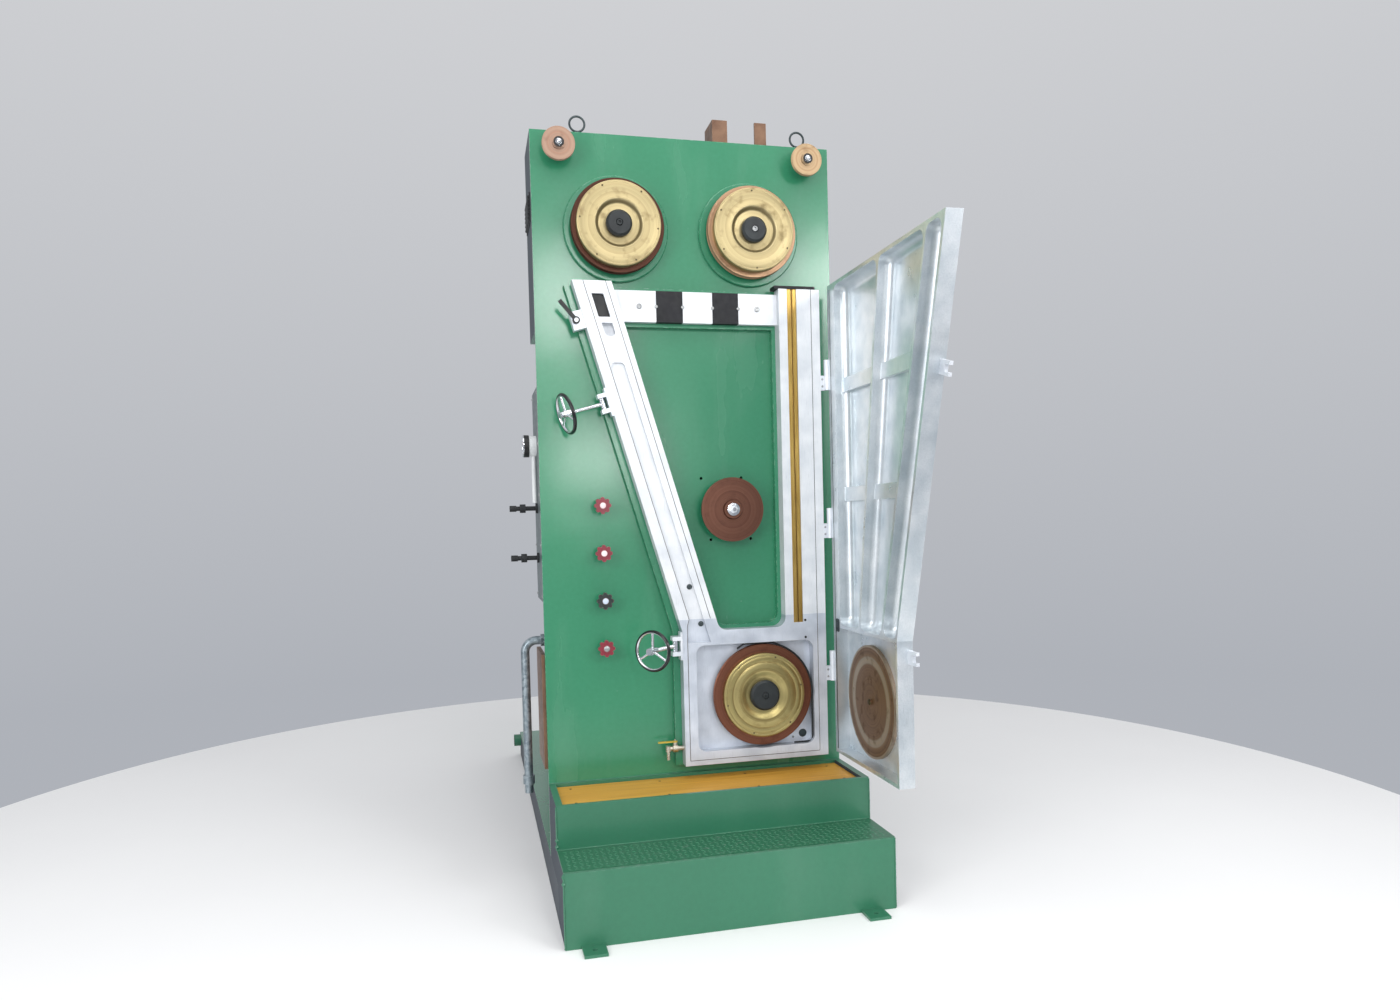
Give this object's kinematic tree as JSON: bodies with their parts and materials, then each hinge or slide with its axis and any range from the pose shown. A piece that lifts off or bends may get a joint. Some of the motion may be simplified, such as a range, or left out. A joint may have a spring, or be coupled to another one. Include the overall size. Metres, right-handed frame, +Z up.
{
  "type": "vertical continuous wire annealer",
  "caption": "Tall green wire-drawing machine with driven contact wheels, a slanted silver annealing housing, a hinged V-shaped door, clamps, valves and a step.",
  "frame": {"origin": "floor level, middle of the machine's width, at the front face of the front plate", "axes": "+Z up, +X to the operator's right, +Y back into the machine"},
  "size_m": [1.35, 3.4554, 3.08],
  "materials": {
    "green_paint": "glossy machine green over filled castings, some scuffs",
    "tread_green": "green checker plate",
    "ochre_board": "ochre foot board",
    "cast_aluminium": "silver painted and machined castings",
    "steel_grey": "plain steel fittings",
    "chrome_rod": "bright plated rods and nuts",
    "black_wheel": "black handwheels, knobs and hubs",
    "red_knob": "red star knobs",
    "copper_rim": "dark copper contact metal",
    "brass_face": "turned yellow brass",
    "insulator": "black insulating blocks",
    "white_plastic": "white fittings",
    "galvanised": "galvanised pipe"
  },
  "bodies": {
    "machine": {"anchor_tabs": "green_paint", "base_plinth": "green_paint", "bearing_flanges": "green_paint", "bus_bars": "copper_rim", "clamp_brackets": "cast_aluminium", "column_cap": "insulator", "cross_bar": "cast_aluminium", "deck_box": "green_paint", "drain_tap": "brass_face", "foot_board": "ochre_board", "front_plate": "green_paint", "gauge_body": "white_plastic", "hinge_bases": "steel_grey", "hose_valves": "black_wheel", "housing_column": "cast_aluminium", "housing_leg": "cast_aluminium", "housing_pad": "green_paint", "insulator_blocks": "insulator", "lifting_eyes": "steel_grey", "lifting_stubs": "green_paint", "overflow_pipe": "galvanised", "pressure_gauge": "black_wheel", "rear_housing": "green_paint", "side_bus_bar": "copper_rim", "side_panel": "steel_grey", "side_vent": "black_wheel", "step_box": "green_paint", "tread_plate": "tread_green", "upper_housing": "green_paint", "water_box": "cast_aluminium", "wheel_studs": "chrome_rod", "wire_guide": "brass_face"},
    "wheel_left": {"contact_wheel_left_rim": "copper_rim", "contact_wheel_left_face": "brass_face", "contact_wheel_left_shaft": "black_wheel"},
    "wheel_right": {"contact_wheel_right_rim": "copper_rim", "contact_wheel_right_face": "brass_face", "contact_wheel_right_shaft": "black_wheel"},
    "wheel_low": {"lower_wheel_rim": "copper_rim", "lower_wheel_face": "brass_face", "lower_wheel_shaft": "black_wheel"},
    "idler": {"idler_wheel": "copper_rim"},
    "pulley_left": {"guide_pulley_left": "copper_rim"},
    "pulley_right": {"guide_pulley_right": "copper_rim"},
    "door": {"door_shell": "cast_aluminium", "door_lugs": "cast_aluminium", "door_ribs": "cast_aluminium", "door_disc": "copper_rim", "door_hinges": "steel_grey"},
    "bolt_upper": {"swing_bolt_upper": "chrome_rod"},
    "bolt_lower": {"swing_bolt_lower": "chrome_rod"},
    "hand_upper": {"handwheel_upper": "black_wheel"},
    "hand_lower": {"handwheel_lower": "black_wheel"},
    "latch": {"latch_lever": "black_wheel"},
    "tap": {"tap_lever": "brass_face"},
    "knob_1": {"valve_knob_1": "red_knob"},
    "knob_2": {"valve_knob_2": "black_wheel"},
    "knob_3": {"valve_knob_3": "red_knob"},
    "knob_4": {"valve_knob_4": "red_knob"}
  },
  "joints": [
    {"name": "left_wheel_turn", "type": "hinge", "parent": "machine", "child": "wheel_left", "pos_m": [-0.279, 0, 2.565], "axis": [0, -1, 0], "continuous": true},
    {"name": "right_wheel_turn", "type": "hinge", "parent": "machine", "child": "wheel_right", "pos_m": [0.255, 0, 2.565], "axis": [0, -1, 0], "continuous": true},
    {"name": "lower_wheel_turn", "type": "hinge", "parent": "machine", "child": "wheel_low", "pos_m": [0.256, 0, 0.728], "axis": [0, -1, 0], "continuous": true},
    {"name": "idler_turn", "type": "hinge", "parent": "machine", "child": "idler", "pos_m": [0.149, 0, 1.471], "axis": [0, -1, 0], "continuous": true},
    {"name": "left_pulley_turn", "type": "hinge", "parent": "machine", "child": "pulley_left", "pos_m": [-0.497, 0, 2.858], "axis": [0, -1, 0], "continuous": true},
    {"name": "right_pulley_turn", "type": "hinge", "parent": "machine", "child": "pulley_right", "pos_m": [0.487, 0, 2.858], "axis": [0, -1, 0], "continuous": true},
    {"name": "door_hinge", "type": "hinge", "parent": "machine", "child": "door", "pos_m": [0.548, -0.085, 0], "axis": [0, 0, -1], "range_deg": [-60, 90]},
    {"name": "upper_bolt_swing", "type": "hinge", "parent": "machine", "child": "bolt_upper", "pos_m": [-0.35652, -0.055, 1.88476], "axis": [-0.2785, 0, 0.9604], "range_deg": [0, 75.5]},
    {"name": "lower_bolt_swing", "type": "hinge", "parent": "machine", "child": "bolt_lower", "pos_m": [-0.098, -0.055, 0.941], "axis": [0, 0, 1], "range_deg": [-30.5, 45]},
    {"name": "upper_handwheel_turn", "type": "hinge", "parent": "bolt_upper", "child": "hand_upper", "pos_m": [-0.35652, -0.055, 1.88476], "axis": [-0.9298, -0.2504, -0.2697], "continuous": true},
    {"name": "lower_handwheel_turn", "type": "hinge", "parent": "bolt_lower", "child": "hand_lower", "pos_m": [-0.098, -0.055, 0.941], "axis": [-0.7071, -0.7071, 0], "continuous": true},
    {"name": "latch_turn", "type": "hinge", "parent": "machine", "child": "latch", "pos_m": [-0.45113, -0.055, 2.19664], "axis": [0, -1, 0], "range_deg": [0, 90]},
    {"name": "tap_turn", "type": "hinge", "parent": "machine", "child": "tap", "pos_m": [-0.106, -0.045, 0.559], "axis": [0, 0, 1], "range_deg": [0, 90]},
    {"name": "valve_1_turn", "type": "hinge", "parent": "machine", "child": "knob_1", "pos_m": [-0.367, 0, 0.945], "axis": [0, -1, 0], "range_deg": [0, 1080]},
    {"name": "valve_2_turn", "type": "hinge", "parent": "machine", "child": "knob_2", "pos_m": [-0.367, 0, 1.129], "axis": [0, -1, 0], "range_deg": [0, 1080]},
    {"name": "valve_3_turn", "type": "hinge", "parent": "machine", "child": "knob_3", "pos_m": [-0.367, 0, 1.313], "axis": [0, -1, 0], "range_deg": [0, 1080]},
    {"name": "valve_4_turn", "type": "hinge", "parent": "machine", "child": "knob_4", "pos_m": [-0.367, 0, 1.497], "axis": [0, -1, 0], "range_deg": [0, 1080]}
  ]
}
